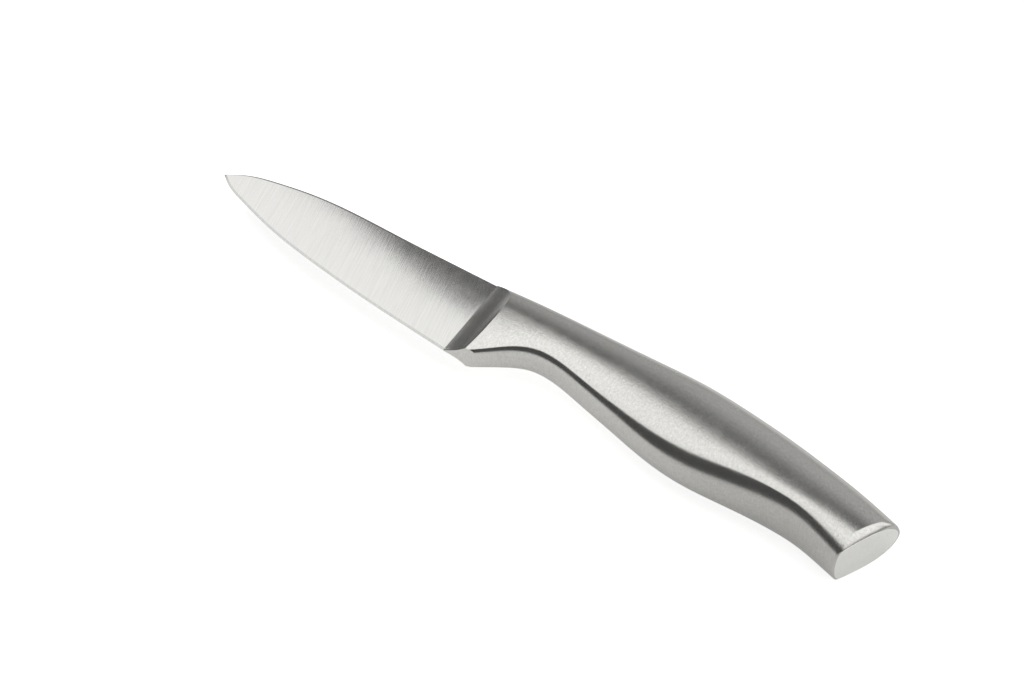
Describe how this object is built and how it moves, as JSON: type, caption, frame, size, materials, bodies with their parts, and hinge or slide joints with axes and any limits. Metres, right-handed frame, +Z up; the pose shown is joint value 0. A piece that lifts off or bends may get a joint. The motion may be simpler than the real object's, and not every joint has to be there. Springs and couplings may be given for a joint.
{
  "type": "paring knife",
  "caption": "Paring knife with a pointed, flat-ground blade, a hollow-ground bolster and a curved hollow steel handle cut off flat at the butt.",
  "frame": {"origin": "centre of the bounding box in X and Y, at the lowest point of the knife lying on its right side", "axes": "+X along the knife from the tip to the butt, +Y from the cutting edge to the spine, +Z up out of the left side of the blade"},
  "size_m": [0.1998, 0.028, 0.0144],
  "materials": {
    "blade_steel": "fine grind lines across the blade from spine to edge",
    "handle_steel": "soft satin with faint handling marks",
    "weld_steel": "as welded, hidden inside the handle"
  },
  "bodies": {
    "root": {"blade": "blade_steel", "bolster": "handle_steel", "handle_shell_left": "handle_steel", "handle_shell_right": "handle_steel", "butt_cap": "handle_steel", "tang_weld": "weld_steel"}
  },
  "joints": []
}
